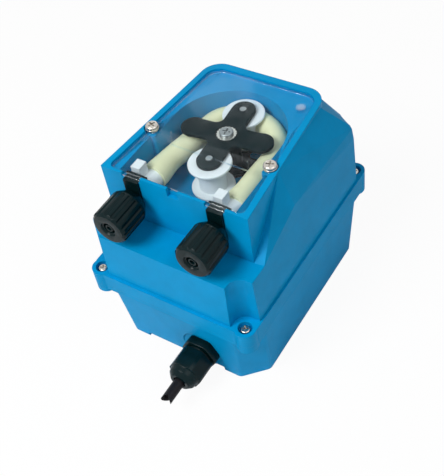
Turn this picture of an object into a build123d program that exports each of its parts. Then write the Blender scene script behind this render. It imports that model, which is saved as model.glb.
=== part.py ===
from build123d import *
import math
import os

os.makedirs("parts", exist_ok=True)

# ---------------------------------------------------------------- sizes, mm
# Frame: X to the right, -Y towards the hose nuts, +Z out of the wall face.

# levels along Z
FOOT_H = 3.0
FLOOR_T = 2.5
PART_Z = 43.4
COLLAR_H = 9.0
SHELF_Z = 81.4
DECK_Z = 109.5
TOP_Z = 112.0
PORT_Z = 97.0

# general fits
FIT = 0.02
RUN = 0.05
GAP = 0.4
WALL = 2.5

# rear box
BOX_HX = 46.9
BOX_HY = 59.6
BOX_TOP_HX = 49.4
BOX_TOP_HY = 63.2
BOX_CHAMFER = 12.0
BOX_CORNER_R = 4.0
FOOT_GAP_HX = 25.0
BOX_INNER_HX = 43.9
BOX_INNER_HY = 56.6
BOX_INNER_CHAMFER = 12.5

# collar and its corner screws
COLLAR_HX = 50.0
COLLAR_HY = 64.9
COLLAR_CHAMFER = 6.0
COLLAR_CORNER_R = 3.0
LUG_X = 44.2
LUG_Y = 60.3
LUG_R = 5.8
LUG_DROP = 8.4
LUG_CONE = 3.0
FLUTE_R = 6.8
LUG_SCREW_R = 1.5
LUG_HEAD_R = 2.6
LUG_HEAD_H = 1.9
LUG_BORE_R = 3.7
LUG_BORE_DEPTH = 2.6
LUG_SCREW_LEN = 14.0

# seal in the parting face
SEAL_W = 2.0
SEAL_H = 1.6
SEAL_INSET = 3.4

# front housing body
BODY_HX = 48.9
BODY_HY = 63.2
SHELF_HX = 47.5
SHELF_FRONT = 62.0
SHELF_BACK = 62.0
BODY_R = 2.5

# head block
HEAD_FRONT = 42.4
HEAD_BACK = 50.5
HEAD_FRONT_HX = 42.0
HEAD_BACK_HX = 34.6
HEAD_BACK_R = 11.0
ROOF_Y = 9.4
ROOF_HX = 39.3
EAVE_HX = 47.2
EAVE_FRONT_Y = 10.4
EAVE_FRONT_Z = 93.0
EAVE_BACK_HX = 46.4
EAVE_BACK_Y = 55.0
EAVE_BACK_Z = 89.2
RIM_SIDE = 3.4
RIM_FRONT = 1.6
RIM_BACK = 4.0

# pump chamber
AXIS_Y = 6.8
CHAMBER_R = 31.0
CHAMBER_FLOOR = 85.5
CHAMBER_BASE_T = 3.0
POCKET_HX = 33.4
NECK_LEN = 19.2
NECK_CORNER_R = 1.6
FRONT_WALL = 3.0
PORT_X = 24.0
NOTCH_W = 8.9
CLIP_HX = 3.0
CLIP_DEPTH = 5.0

# cover
COVER_T = 2.0
COVER_GAP = 0.3
COVER_FRONT_R = 3.0
COVER_BACK_R = 8.0
TAB_W = 10.4
TAB_T = 1.4
COVER_SCREW_X = 34.4
COVER_SCREW_Y = -8.6
COVER_SCREW_R = 2.0
COVER_HEAD_R = 3.4
COVER_HEAD_H = 2.5
COVER_EAR_R = 3.9
COVER_SCREW_LEN = 12.0

# rotor
PIN_CIRCLE_R = 19.3
ROTOR_TURN = 5.0
ARM_R = 6.4
ARM_REACH = 19.6
GUIDE_R = 6.6
GUIDE_REACH = 19.0
PLATE_HUB_R = 10.5
TOP_PLATE_Z = 105.6
TOP_PLATE_T = 2.2
WASHER_POCKET_R = 5.9
WASHER_POCKET_T = 1.0
WASHER_R = 5.5
WASHER_T = 0.8
HUB_SCREW_R = 2.0
HUB_HEAD_R = 3.6
HUB_HEAD_H = 1.6
HUB_SCREW_LEN = 9.0
LOW_PLATE_Z = 86.0
LOW_PLATE_T = 2.0
HUB_R = 6.4
PIN_R = 1.75
ROLLER_CORE_R = 7.2
ROLLER_FLANGE_R = 11.2
ROLLER_FLANGE_T = 1.5
ROLLER_GAP = 0.3

# drive shaft and bush
SHAFT_R = 3.0
SHAFT_FLAT = 2.4
BUSH_R = 5.0

# hose
TUBE_R = 6.1
TUBE_BORE_R = 3.8
TUBE_WALL_GAP = 0.3
TUBE_ROLLER_GAP = 0.15
TUBE_MEET_ANGLE = 110.0
TUBE_LEAVE_ANGLE = -3.0
TUBE_SLACK_HEADING = 79.5
TUBE_SOFT_R = 60.0
TUBE_BEND_R = 13.5
TUBE_END_Y = -24.0
TUBE_END_GAP = 0.2
TUBE_STRAIGHT_Y = -14.0
BARB_R = 3.75
BARB_BORE_R = 2.4
BARB_TIP_Y = -19.6
BARB_PLATE_W = 11.4
BARB_PLATE_T = 3.0
BARB_PLATE_LOW = 8.0
BARB_PLATE_HIGH = 6.3
BARB_CORNER_R = 1.6
BARB_SLEEVE_R = 5.4
BARB_TAB_OUT = 6.2
BARB_TAB_W = 5.2
BARB_TAB_LEN = 6.0
BARB_TAB_TOP_GAP = 0.5

# hose nipple and ring nut
NIPPLE_R = 5.2
NIPPLE_LEN = 6.0
NIPPLE_IN = 2.0
PIPE_R = 2.15
PIPE_BORE_R = 1.35
NUT_R = 9.8
NUT_BACK_R = 6.6
NUT_LEN = 21.8
NUT_SHOULDER = 4.2
NUT_NOSE_C = 1.4
NUT_HOLE_R = 3.25
NUT_CAVITY_R = 5.25
NUT_CAVITY_LEN = 9.0
NUT_RIBS = 16
NUT_GROOVE_R = 1.15
NUT_RING_R = 4.4
NUT_RING_DEPTH = 0.8

# cable gland
GLAND_X = 14.0
GLAND_Z = 14.6
GLAND_SPOT_R = 12.4
GLAND_FACE_Y = -60.6
GLAND_HEX = 19.0
GLAND_HEX_T = 5.0
GLAND_THREAD_R = 7.6
GLAND_IN_LEN = 8.6
GLAND_OUT_LEN = 11.0
GLAND_OUT_R = 7.0
GLAND_BORE_R = 4.4
CAP_HEX = 17.6
CAP_LEN = 12.0
CAP_DOME = 5.2
CAP_GAP = 1.6
CAP_HOLE_R = 3.6
LOCK_HEX = 19.0
LOCK_T = 3.4
CABLE_R = 3.0
CABLE_OUT = 13.0
CABLE_IN = 8.0

# gear train
MOD_FINE = 0.6
MOD_COARSE = 0.8
PINION_T = 12
WHEEL_T = 42
LAST_PINION_T = 14
OUTPUT_T = 46
BACKLASH = 0.22
TOOTH_TOP = 0.94
TOOTH_ROOT = 1.25
TIP_EASE = 1.2
PRESSURE_ANGLE = 20.0
AXLE_R = 1.25
MOTOR_AT = (-6.0, -20.0)
SECOND_ANGLE = -45.0

# gearbox and motor
CASE_X0 = -28.0
CASE_X1 = 34.0
CASE_Y0 = -41.0
CASE_Y1 = 29.5
CASE_R = 6.0
CASE_Z = 62.0
CASE_WALL = 2.0
LID_T = 1.8
MOTOR_R = 21.0
MOTOR_H = 26.0
MOTOR_SKIN = 1.2
COIL_R = 17.6
COIL_IN_R = 13.2
MAGNET_R = 12.2
ARM_SHAFT_R = 1.5

# wall fixing and circuit board
WALL_HOLE_X = 32.0
WALL_HOLE_Y = 46.0
WALL_HOLE_R = 2.25
BOARD_W = 62.0
BOARD_D = 40.0
BOARD_T = 1.6
BOARD_Y = -14.0
POST_H = 4.0
POST_R = 3.0
BOARD_HOLE_INSET = 4.0
BOARD_SCREW_R = 1.25

# derived
COLLAR_Z = PART_Z + COLLAR_H
COVER_TOP = DECK_Z + COVER_T
BASE_LOW = CHAMBER_FLOOR - CHAMBER_BASE_T
AXIS = (0.0, AXIS_Y)
LUGS = [(x, y) for x in (-LUG_X, LUG_X) for y in (-LUG_Y, LUG_Y)]


# ---------------------------------------------------------------- helpers
def cyl(x, y, z, r, h):
    return Pos(x, y, z + h / 2) * Cylinder(r, h)


def ycyl(x, z, r, y0, y1):
    return Pos(x, (y0 + y1) / 2, z) * Rot(90, 0, 0) * Cylinder(r, abs(y1 - y0))


def block(x0, x1, y0, y1, z0, z1):
    return Pos((x0 + x1) / 2, (y0 + y1) / 2, (z0 + z1) / 2) * Box(x1 - x0, y1 - y0, z1 - z0)


def prism(face, z, h):
    return Pos(0, 0, z) * extrude(face, amount=h)


def polygon(points):
    return make_face(Polyline(*points, close=True))


def chamfered(hx, hy, c, r):
    pts = [
        (-hx + c, -hy), (hx - c, -hy), (hx, -hy + c), (hx, hy - c),
        (hx - c, hy), (-hx + c, hy), (-hx, hy - c), (-hx, -hy + c),
    ]
    face = polygon(pts)
    return fillet(face.vertices(), r)


def tiers(low, z0, high, z1):
    return loft([Pos(0, 0, z0) * low, Pos(0, 0, z1) * high], ruled=True)


def hull(points):
    """Convex solid round a list of 3-D points."""
    n = len(points)
    vs = [Vector(*p) for p in points]
    planes = {}
    for i in range(n):
        for j in range(i + 1, n):
            for k in range(j + 1, n):
                normal = (vs[j] - vs[i]).cross(vs[k] - vs[i])
                if normal.length < 1e-6:
                    continue
                normal = normal.normalized()
                side = [(v - vs[i]).dot(normal) for v in vs]
                if max(side) > 1e-4 and min(side) < -1e-4:
                    continue
                if max(side) > 1e-4:
                    normal = normal * -1
                on = tuple(m for m in range(n) if abs(side[m]) <= 1e-4)
                planes[on] = normal
    faces = []
    for on, normal in planes.items():
        mid = sum((vs[m] for m in on), Vector(0, 0, 0)) * (1 / len(on))
        ax = (vs[on[0]] - mid).normalized()
        ay = normal.cross(ax)
        ring = sorted(on, key=lambda m: math.atan2((vs[m] - mid).dot(ay), (vs[m] - mid).dot(ax)))
        faces.append(Face(Wire.make_polygon([vs[m] for m in ring], close=True)))
    return Solid(Shell(faces))


def solid_of(shape):
    """The one solid of a boolean result, or a compound if there are several."""
    parts = shape.solids()
    if len(parts) == 1:
        return parts[0]
    return Compound(children=list(parts))


def save(shape, node):
    shape = solid_of(shape)
    shape.label = node
    export_step(shape, "parts/" + node + ".step")
    print(node, "solids", len(shape.solids()), "volume", round(shape.volume))


def gear(teeth, module, thickness, phase=0.0):
    """Spur gear with straight-sided teeth; tooth 0 points along phase degrees."""
    pitch = teeth * module / 2
    tip = pitch + TOOTH_TOP * module
    root = pitch - TOOTH_ROOT * module
    step = 2 * math.pi / teeth
    half = math.pi * module / 4 - BACKLASH / 2
    lean = module * math.tan(math.radians(PRESSURE_ANGLE))
    flank = ((root, half + TOOTH_ROOT * lean), (tip, half - TIP_EASE * lean))
    pts = []
    for i in range(teeth):
        a = math.radians(phase) + i * step
        for radius, width in flank:
            pts.append((radius, a - width / radius))
        for radius, width in reversed(flank):
            pts.append((radius, a + width / radius))
    flat = [(r * math.cos(t), r * math.sin(t)) for r, t in pts]
    return extrude(polygon(flat), amount=thickness)


def meet(p, q, r, side):
    """Point at distance r from both p and q, on the chosen side."""
    dx = q[0] - p[0]
    dy = q[1] - p[1]
    d = math.hypot(dx, dy)
    h = math.sqrt(r * r - d * d / 4)
    return ((p[0] + q[0]) / 2 - side * dy / d * h, (p[1] + q[1]) / 2 + side * dx / d * h)


# ---------------------------------------------------------------- rear box
def box_outline(hx, hy):
    return chamfered(hx, hy, BOX_CHAMFER, BOX_CORNER_R)


def seal_ring(width, grow):
    hx = COLLAR_HX - SEAL_INSET
    hy = COLLAR_HY - SEAL_INSET
    outer = chamfered(hx + grow, hy + grow, BOX_CHAMFER + 1, 2.0)
    inner = chamfered(hx - width - grow, hy - width - grow, BOX_CHAMFER + 1, 1.0)
    return outer - inner


def make_rear_box():
    body = tiers(box_outline(BOX_HX, BOX_HY), 0, box_outline(BOX_TOP_HX, BOX_TOP_HY), PART_Z)
    rim = prism(chamfered(COLLAR_HX, COLLAR_HY, COLLAR_CHAMFER, COLLAR_CORNER_R), PART_Z - 3.0, 3.0)
    body = body + rim
    for x, y in LUGS:
        lug = cyl(x, y, PART_Z - LUG_DROP + LUG_CONE, LUG_R, LUG_DROP - LUG_CONE)
        cone = Pos(x, y, PART_Z - LUG_DROP + LUG_CONE / 2) * Cone(LUG_R - LUG_CONE, LUG_R, LUG_CONE)
        body = body + lug + cone
    inner = prism(chamfered(BOX_INNER_HX, BOX_INNER_HY, BOX_INNER_CHAMFER, 2.0), FOOT_H + FLOOR_T, 60)
    body = body - inner
    # channel between the two foot rails
    body = body - block(-FOOT_GAP_HX, FOOT_GAP_HX, -80, 80, -1, FOOT_H)
    # spot face and hole for the cable gland
    body = body + ycyl(GLAND_X, GLAND_Z, GLAND_SPOT_R, GLAND_FACE_Y, -BOX_INNER_HY + 1) \
        - block(-80, 80, -80, 80, -20, 0)
    body = body - ycyl(GLAND_X, GLAND_Z, GLAND_SPOT_R, -75, GLAND_FACE_Y)
    body = body - ycyl(GLAND_X, GLAND_Z, GLAND_THREAD_R + FIT, -70, -50)
    body = body - block(GLAND_X - 14, GLAND_X + 14, -57.0, -48, FOOT_H + FLOOR_T, 30)
    for x, y in LUGS:
        body = body - cyl(x, y, COLLAR_Z - LUG_BORE_DEPTH - LUG_SCREW_LEN - 1, LUG_SCREW_R + FIT, 30)
    for x in (-WALL_HOLE_X, WALL_HOLE_X):
        for y in (-WALL_HOLE_Y, WALL_HOLE_Y):
            body = body - cyl(x, y, -1, WALL_HOLE_R, 20)
    for x, y in board_holes():
        body = body + cyl(x, y, FOOT_H + FLOOR_T - 0.5, POST_R, POST_H + 0.5)
        body = body - cyl(x, y, FOOT_H + FLOOR_T + 0.5, BOARD_SCREW_R + FIT, POST_H + 1)
    # groove for the seal
    body = body - prism(seal_ring(SEAL_W, FIT), PART_Z - SEAL_H, SEAL_H + 1)
    return body


def make_seal():
    return prism(seal_ring(SEAL_W, 0), PART_Z - SEAL_H + FIT, SEAL_H - 2 * FIT)


def board_holes():
    hx = BOARD_W / 2 - BOARD_HOLE_INSET
    hy = BOARD_D / 2 - BOARD_HOLE_INSET
    return [(x, BOARD_Y + y) for x in (-hx, hx) for y in (-hy, hy)]


# ---------------------------------------------------------------- front housing
def head_outline(grow=0.0):
    fx = HEAD_FRONT_HX + grow
    bx = HEAD_BACK_HX + grow
    pts = [(-fx, -HEAD_FRONT - grow), (fx, -HEAD_FRONT - grow), (bx, HEAD_BACK + grow), (-bx, HEAD_BACK + grow)]
    face = polygon(pts)
    back = [v for v in face.vertices() if v.Y > 0]
    return fillet(back, HEAD_BACK_R + grow)


def cover_outline(gap):
    slope = (HEAD_FRONT_HX - HEAD_BACK_HX) / (HEAD_FRONT + HEAD_BACK)
    y0 = -HEAD_FRONT + RIM_FRONT + gap
    y1 = HEAD_BACK - RIM_BACK - gap
    x0 = HEAD_FRONT_HX - slope * (HEAD_FRONT + y0) - RIM_SIDE - gap
    x1 = HEAD_FRONT_HX - slope * (HEAD_FRONT + y1) - RIM_SIDE - gap
    face = polygon([(-x0, y0), (x0, y0), (x1, y1), (-x1, y1)])
    face = fillet([v for v in face.vertices() if v.Y > 0], COVER_BACK_R)
    face = fillet([v for v in face.vertices() if v.Y < -30], COVER_FRONT_R)
    for s in (-1, 1):
        face = face + Pos(s * COVER_SCREW_X, COVER_SCREW_Y) * Circle(COVER_EAR_R + COVER_GAP - gap)
    return face


def chamber_plan(grow=0.0):
    ring = Pos(0, AXIS_Y) * Circle(CHAMBER_R + grow)
    hx = POCKET_HX + grow
    y0 = -HEAD_FRONT + FRONT_WALL - grow
    y1 = AXIS_Y
    neck = Pos(0, y1 - NECK_LEN / 2) * Rectangle(2 * (CHAMBER_R + grow), NECK_LEN)
    pocket = Pos(0, (y0 + y1 - NECK_LEN) / 2) * Rectangle(2 * hx, y1 - NECK_LEN - y0)
    face = (ring + pocket + neck).face()
    shoulder = [v for v in face.vertices() if abs(v.Y - y1 + NECK_LEN) < 0.01 and abs(v.X) < hx - 0.01]
    return fillet(shoulder, NECK_CORNER_R)


def roof(inset=0.0):
    pts = []
    top = TOP_Z - 0.2 - 1.6 * inset
    low = SHELF_Z - (4.0 if inset else 0.0)
    i = inset
    for s in (-1, 1):
        pts += [
            (s * (HEAD_FRONT_HX - i), -HEAD_FRONT + 1.4 * i, low),
            (s * (SHELF_HX - i), -HEAD_FRONT + 0.5 + 1.4 * i, low),
            (s * (EAVE_HX - i), -EAVE_FRONT_Y + i, EAVE_FRONT_Z - 0.5 * i),
            (s * (EAVE_BACK_HX - i), EAVE_BACK_Y - i, EAVE_BACK_Z - 0.5 * i),
            (s * (ROOF_HX - 1.4 * i), -ROOF_Y + i, top),
            (s * (HEAD_BACK_HX - 0.3 - 1.4 * i), HEAD_BACK - HEAD_BACK_R - i, top),
            (s * (HEAD_BACK_HX - HEAD_BACK_R - i), HEAD_BACK - 0.4 - i, top),
            (s * (SHELF_HX - i), SHELF_BACK - 0.5 - i, low),
            (s * (SHELF_HX - 9.0 - i), SHELF_BACK - i, low),
        ]
    return hull(pts)


def flute(x, y, grow=0.0):
    sx = 1 if x > 0 else -1
    sy = 1 if y > 0 else -1
    r = FLUTE_R + grow
    z0 = COLLAR_Z - grow
    h = TOP_Z - COLLAR_Z + 5
    cut = cyl(x, y, z0, r, h)
    far = 30.0
    a = block(min(x, x + sx * far), max(x, x + sx * far),
              min(y - sy * r, y + sy * far), max(y - sy * r, y + sy * far), z0, z0 + h)
    b = block(min(x - sx * r, x + sx * far), max(x - sx * r, x + sx * far),
              min(y, y + sy * far), max(y, y + sy * far), z0, z0 + h)
    return cut + a + b


def make_front_housing():
    collar = prism(chamfered(COLLAR_HX, COLLAR_HY, COLLAR_CHAMFER, COLLAR_CORNER_R), PART_Z, COLLAR_H)
    for x, y in LUGS:
        collar = collar + cyl(x, y, PART_Z, LUG_R, COLLAR_H)
    low = RectangleRounded(2 * BODY_HX, 2 * BODY_HY, BODY_R)
    high = RectangleRounded(2 * SHELF_HX, 2 * SHELF_FRONT, BODY_R)
    body = collar + tiers(low, COLLAR_Z - 0.01, high, SHELF_Z)
    body = body + prism(head_outline(), SHELF_Z - 1, TOP_Z - SHELF_Z + 1)
    body = body + roof()
    for x, y in LUGS:
        body = body - flute(x, y)
    # pump chamber, cover seat, notches and clip window
    body = body - prism(chamber_plan(), CHAMBER_FLOOR, 40)
    body = body - prism(cover_outline(0), DECK_Z, 10)
    for s in (-1, 1):
        x = s * PORT_X
        notch = block(x - NOTCH_W / 2, x + NOTCH_W / 2, -HEAD_FRONT - 1, -HEAD_FRONT + FRONT_WALL + 1, PORT_Z, 120)
        notch = notch + ycyl(x, PORT_Z, NOTCH_W / 2, -HEAD_FRONT - 1, -HEAD_FRONT + FRONT_WALL + 1)
        body = body - notch
        body = body - block(x - TAB_W / 2 - COVER_GAP, x + TAB_W / 2 + COVER_GAP,
                            -HEAD_FRONT - 1, -HEAD_FRONT + 3, DECK_Z, 120)
        body = body - cyl(s * COVER_SCREW_X, COVER_SCREW_Y, DECK_Z - COVER_SCREW_LEN, COVER_SCREW_R + FIT, 20)
    body = body - block(-CLIP_HX, CLIP_HX, -HEAD_FRONT - 1, -HEAD_FRONT + RIM_FRONT + 0.5, TOP_Z - CLIP_DEPTH, 120)
    # drive shaft bush
    body = body - cyl(0, AXIS_Y, 60, BUSH_R + FIT, 60)
    # inner space for the gearmotor
    inner_low = chamfered(BODY_HX - 4.6, BODY_HY - 4.0, 14.0, 2.0)
    inner_high = chamfered(SHELF_HX - 3.0, SHELF_FRONT - 3.2, 13.0, 2.0)
    space = prism(inner_low, PART_Z - 1, COLLAR_H + 1)
    space = space + tiers(inner_low, COLLAR_Z - 0.01, inner_high, SHELF_Z - 3.0)
    well = prism(chamfered(SHELF_HX - 4.5, HEAD_FRONT - 1.0, 8.0, 2.0), SHELF_Z - 4, BASE_LOW - SHELF_Z + 4)
    body = body - space - well
    # coring between the chamber wall and the head's skin
    core = prism(head_outline(-WALL - 0.3), SHELF_Z - 4, DECK_Z - 3.0 - SHELF_Z + 4) + roof(WALL)
    core = core - prism(chamber_plan(WALL), SHELF_Z - 6, 60)
    core = core - block(-80, 80, -80, -HEAD_FRONT + FRONT_WALL, 0, 120)
    for s in (-1, 1):
        core = core - cyl(s * COVER_SCREW_X, COVER_SCREW_Y, SHELF_Z - 6, 4.6, 60)
    for x, y in LUGS:
        core = core - flute(x, y, WALL)
    body = body - core
    for x, y in LUGS:
        body = body - cyl(x, y, PART_Z - 1, LUG_SCREW_R + 0.15, 30)
        body = body - cyl(x, y, COLLAR_Z - LUG_BORE_DEPTH, LUG_BORE_R, 20)
    for x, y in case_screws():
        body = body - cyl(x, y, BASE_LOW - 1, 1.25 + FIT, 3.0)
    return body


# ---------------------------------------------------------------- cover
def make_cover():
    face = cover_outline(COVER_GAP)
    body = prism(face, DECK_Z, COVER_T)
    for s in (-1, 1):
        x = s * PORT_X
        body = body + block(x - TAB_W / 2, x + TAB_W / 2, -HEAD_FRONT + 0.2, -HEAD_FRONT + 4, DECK_Z, DECK_Z + TAB_T)
        body = body - cyl(s * COVER_SCREW_X, COVER_SCREW_Y, DECK_Z - 1, COVER_SCREW_R + 0.2, 10)
    return body


def screw(r, head_r, head_h, length, recess=True):
    """Pan-head screw, head underside at z = 0, shank downwards."""
    head = cyl(0, 0, 0, head_r, head_h)
    top = [e for e in head.edges() if e.center().Z > head_h - 0.01]
    head = fillet(top, head_h * 0.45)
    body = head + cyl(0, 0, -length, r, length + 0.1)
    slot = head_r * 0.24
    reach = head_r * 0.6
    for turn in (0, 90):
        body = body - Rot(0, 0, turn) * block(-reach, reach, -slot / 2, slot / 2, head_h * 0.45, head_h + 1)
    return body


def make_cover_screws():
    one = screw(COVER_SCREW_R, COVER_HEAD_R, COVER_HEAD_H, COVER_SCREW_LEN)
    parts = [Pos(s * COVER_SCREW_X, COVER_SCREW_Y, COVER_TOP + FIT) * Rot(0, 0, 20 * s) * one for s in (-1, 1)]
    return Compound(children=[p.solids()[0] for p in parts])


def make_lug_screws():
    one = screw(LUG_SCREW_R, LUG_HEAD_R, LUG_HEAD_H, LUG_SCREW_LEN)
    z = COLLAR_Z - LUG_BORE_DEPTH + FIT
    parts = [Pos(x, y, z) * Rot(0, 0, 30) * one for x, y in LUGS]
    return Compound(children=[p.solids()[0] for p in parts])


# ---------------------------------------------------------------- rotor
def arm_plan():
    face = Circle(PLATE_HUB_R)
    for turn in (90, 270):
        arm = Pos(ARM_REACH / 2, 0) * Rectangle(ARM_REACH, 2 * ARM_R) + Pos(ARM_REACH, 0) * Circle(ARM_R)
        face = face + Rot(0, 0, turn) * arm
    for turn in (0, 180):
        arm = Pos(GUIDE_REACH / 2, 0) * Rectangle(GUIDE_REACH, 2 * GUIDE_R - 1) + Pos(GUIDE_REACH, 0) * Circle(GUIDE_R)
        face = face + Rot(0, 0, turn) * arm
    inner = [v for v in face.vertices() if math.hypot(v.X, v.Y) < PLATE_HUB_R + 2.0]
    return fillet(inner, 2.5)


def at_axis(shape):
    return Pos(0, AXIS_Y, 0) * Rot(0, 0, ROTOR_TURN) * shape


def flat_shaft(r, flat, z, h):
    rod = cyl(0, 0, z, r, h)
    return rod - block(flat, r + 2, -r - 1, r + 1, z - 1, z + h + 1)


def shaft_hole(z, h):
    rod = cyl(0, 0, z, SHAFT_R + FIT, h)
    return rod - block(SHAFT_FLAT + FIT, SHAFT_R + 2, -SHAFT_R - 1, SHAFT_R + 1, z - 1, z + h + 1)


def pin_places():
    return [(0, PIN_CIRCLE_R), (0, -PIN_CIRCLE_R)]


def make_rotor_top():
    body = prism(arm_plan(), TOP_PLATE_Z, TOP_PLATE_T)
    top = TOP_PLATE_Z + TOP_PLATE_T
    body = body - cyl(0, 0, top - WASHER_POCKET_T, WASHER_POCKET_R, 5)
    body = body - cyl(0, 0, 100, HUB_SCREW_R + 0.2, 20)
    for x, y in pin_places():
        body = body - cyl(x, y, 100, PIN_R + FIT, 20)
    edges = [e for e in body.edges() if abs(e.center().Z - top) < 0.01]
    edges = [e for e in edges if math.hypot(e.center().X, e.center().Y) > WASHER_POCKET_R + 1]
    edges = [e for e in edges if e.geom_type != GeomType.CIRCLE or e.radius > PIN_R + 0.5]
    body = chamfer(edges, 0.4)
    return at_axis(body)


def make_rotor_base():
    body = prism(arm_plan(), LOW_PLATE_Z, LOW_PLATE_T)
    body = body + cyl(0, 0, LOW_PLATE_Z, HUB_R, TOP_PLATE_Z - LOW_PLATE_Z - FIT)
    body = body - shaft_hole(80, 30)
    for x, y in pin_places():
        body = body - cyl(x, y, 80, PIN_R + FIT, 20)
    return at_axis(body)


def make_pins():
    z0 = LOW_PLATE_Z + 0.2
    h = TOP_PLATE_Z + TOP_PLATE_T + 0.3 - z0
    parts = [at_axis(cyl(x, y, z0, PIN_R, h)) for x, y in pin_places()]
    return Compound(children=[p.solids()[0] for p in parts])


def make_roller(place):
    z0 = LOW_PLATE_Z + LOW_PLATE_T + ROLLER_GAP
    z1 = TOP_PLATE_Z - ROLLER_GAP
    body = cyl(0, 0, z0, ROLLER_CORE_R, z1 - z0)
    body = body + cyl(0, 0, z0, ROLLER_FLANGE_R, ROLLER_FLANGE_T)
    body = body + cyl(0, 0, z1 - ROLLER_FLANGE_T, ROLLER_FLANGE_R, ROLLER_FLANGE_T)
    rims = [e for e in body.edges() if e.geom_type == GeomType.CIRCLE and e.radius > ROLLER_FLANGE_R - 0.1]
    body = fillet(rims, 0.45)
    body = body - cyl(0, 0, 80, PIN_R + RUN, 40)
    for turn in range(0, 360, 120):
        body = body - Rot(0, 0, turn) * cyl(4.5, 0, z1 - 2.5, 1.0, 5)
    return at_axis(Pos(place[0], place[1], 0) * body)


def make_hub_washer():
    z = TOP_PLATE_Z + TOP_PLATE_T - WASHER_POCKET_T
    teeth = 18
    pts = []
    for i in range(2 * teeth):
        a = math.pi * i / teeth
        r = WASHER_R if i % 2 == 0 else WASHER_R - 0.7
        pts.append((r * math.cos(a), r * math.sin(a)))
    body = prism(polygon(pts), z + FIT, WASHER_T)
    return at_axis(body - cyl(0, 0, z - 1, HUB_SCREW_R + 0.15, 5))


def make_hub_screw():
    z = TOP_PLATE_Z + TOP_PLATE_T - WASHER_POCKET_T + WASHER_T + 2 * FIT
    return at_axis(Pos(0, 0, z) * screw(HUB_SCREW_R, HUB_HEAD_R, HUB_HEAD_H, HUB_SCREW_LEN))


# ---------------------------------------------------------------- drive
SHAFT_TOP = TOP_PLATE_Z - 0.6
SHAFT_LOW = CASE_Z + 0.6
O_XY = AXIS
S_XY = (
    AXIS[0] + MOD_COARSE * (OUTPUT_T + LAST_PINION_T) / 2 * math.cos(math.radians(SECOND_ANGLE)),
    AXIS[1] + MOD_COARSE * (OUTPUT_T + LAST_PINION_T) / 2 * math.sin(math.radians(SECOND_ANGLE)),
)
FINE_CENTRE = MOD_FINE * (PINION_T + WHEEL_T) / 2
F_XY = meet(S_XY, MOTOR_AT, FINE_CENTRE, 1)

FIRST_Z = CASE_Z + CASE_WALL + 1.0
FIRST_T = 3.0
MID_Z = FIRST_Z + FIRST_T + 1.2
MID_T = 3.0
LAST_Z = MID_Z + MID_T + 2.2
LAST_T = 4.0


def heading(p, q):
    return math.degrees(math.atan2(q[1] - p[1], q[0] - p[0]))


def gap_phase(teeth, angle):
    """Phase that puts a tooth gap on the given heading."""
    return angle + 180.0 / teeth


def make_drive_shaft():
    flat_z = LOW_PLATE_Z - GAP / 2
    rod = flat_shaft(SHAFT_R, SHAFT_FLAT, flat_z, SHAFT_TOP - flat_z)
    rod = rod + cyl(0, 0, SHAFT_LOW, SHAFT_R, flat_z - SHAFT_LOW)
    rod = rod - cyl(0, 0, SHAFT_TOP - HUB_SCREW_LEN - 1, HUB_SCREW_R + FIT, 20)
    return at_axis(rod)


def make_output_gear():
    body = Pos(0, 0, LAST_Z) * gear(OUTPUT_T, MOD_COARSE, LAST_T, heading(O_XY, S_XY))
    body = body + cyl(0, 0, LAST_Z - 2.0, 6.0, LAST_T + 2.0)
    body = body - cyl(0, 0, LAST_Z - 5, SHAFT_R + FIT, 20)
    for turn in range(0, 360, 60):
        body = body - Rot(0, 0, turn + 30) * cyl(11.6, 0, LAST_Z - 1, 3.0, 10)
    return Pos(O_XY[0], O_XY[1], 0) * body


def make_second_gear():
    low = Pos(0, 0, MID_Z) * gear(WHEEL_T, MOD_FINE, MID_T, heading(S_XY, F_XY))
    high = Pos(0, 0, MID_Z + MID_T) * gear(LAST_PINION_T, MOD_COARSE, LAST_Z + LAST_T - MID_Z - MID_T + 0.5,
                                           gap_phase(LAST_PINION_T, heading(S_XY, O_XY)))
    body = low + high - cyl(0, 0, MID_Z - 1, AXLE_R + RUN, 30)
    return Pos(S_XY[0], S_XY[1], 0) * body


def make_first_gear():
    low = Pos(0, 0, FIRST_Z) * gear(WHEEL_T, MOD_FINE, FIRST_T, heading(F_XY, MOTOR_AT))
    high = Pos(0, 0, FIRST_Z + FIRST_T) * gear(PINION_T, MOD_FINE, MID_Z + MID_T - FIRST_Z - FIRST_T + 0.5,
                                               gap_phase(PINION_T, heading(F_XY, S_XY)))
    body = low + high - cyl(0, 0, FIRST_Z - 1, AXLE_R + RUN, 30)
    return Pos(F_XY[0], F_XY[1], 0) * body


def make_motor_pinion():
    body = Pos(0, 0, FIRST_Z - 0.4) * gear(PINION_T, MOD_FINE, FIRST_T + 0.8,
                                           gap_phase(PINION_T, heading(MOTOR_AT, F_XY)))
    body = body - cyl(0, 0, FIRST_Z - 5, ARM_SHAFT_R + FIT, 20)
    return Pos(MOTOR_AT[0], MOTOR_AT[1], 0) * body


def case_screws():
    i = 4.5
    return [(x, y) for x in (CASE_X0 + i, CASE_X1 - i) for y in (CASE_Y0 + i, CASE_Y1 - i)]


def case_plan(grow=0.0):
    w = CASE_X1 - CASE_X0 + 2 * grow
    d = CASE_Y1 - CASE_Y0 + 2 * grow
    return Pos((CASE_X0 + CASE_X1) / 2, (CASE_Y0 + CASE_Y1) / 2) * RectangleRounded(w, d, CASE_R + grow)


LID_Z = BASE_LOW - LID_T - FIT


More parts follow.
